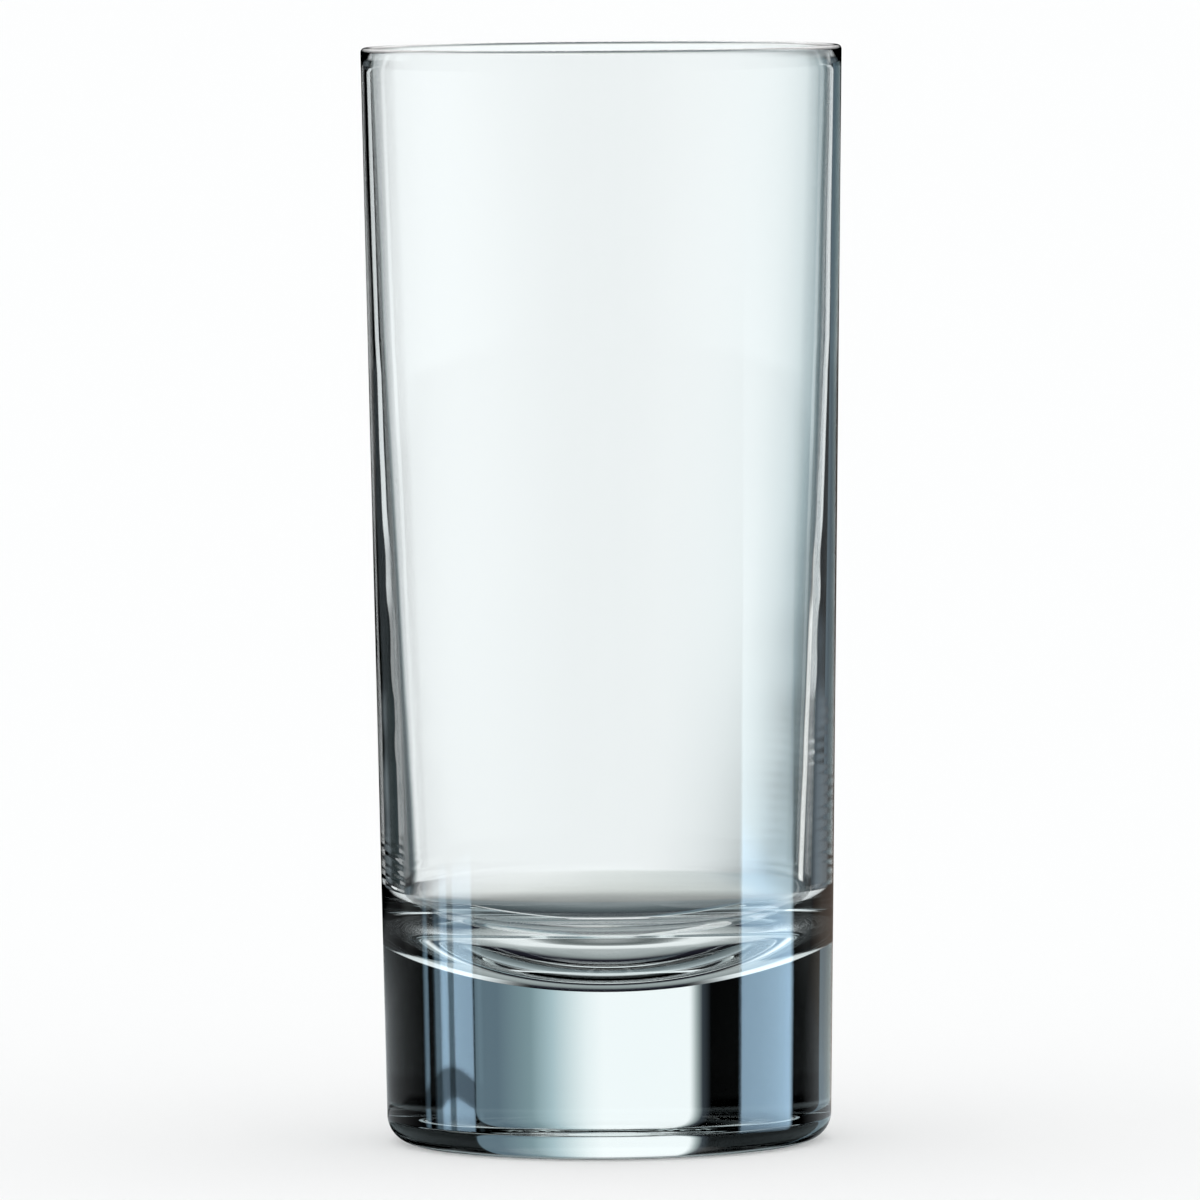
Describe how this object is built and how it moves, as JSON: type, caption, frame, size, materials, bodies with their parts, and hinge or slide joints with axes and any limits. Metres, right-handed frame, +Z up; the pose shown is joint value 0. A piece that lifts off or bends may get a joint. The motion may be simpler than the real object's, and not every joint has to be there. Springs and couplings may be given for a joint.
{
  "type": "highball glass",
  "caption": "Tall straight-sided drinking glass with a fire-polished lip, a thin clear wall and a thick solid base with a dished floor inside.",
  "frame": {"origin": "centre of the ring that the glass stands on, on the table plane", "axes": "+Z up the glass's axis towards the lip; X and Y are alike, as the glass is round"},
  "size_m": [0.064, 0.064, 0.146],
  "materials": {
    "clear_glass": "clear pressed soda-lime glass, fire polished, with a faint cool green-blue tint where it is thick"
  },
  "bodies": {
    "root": {"foot": "clear_glass", "heavy_base": "clear_glass", "side_wall": "clear_glass", "lip": "clear_glass"}
  },
  "joints": []
}
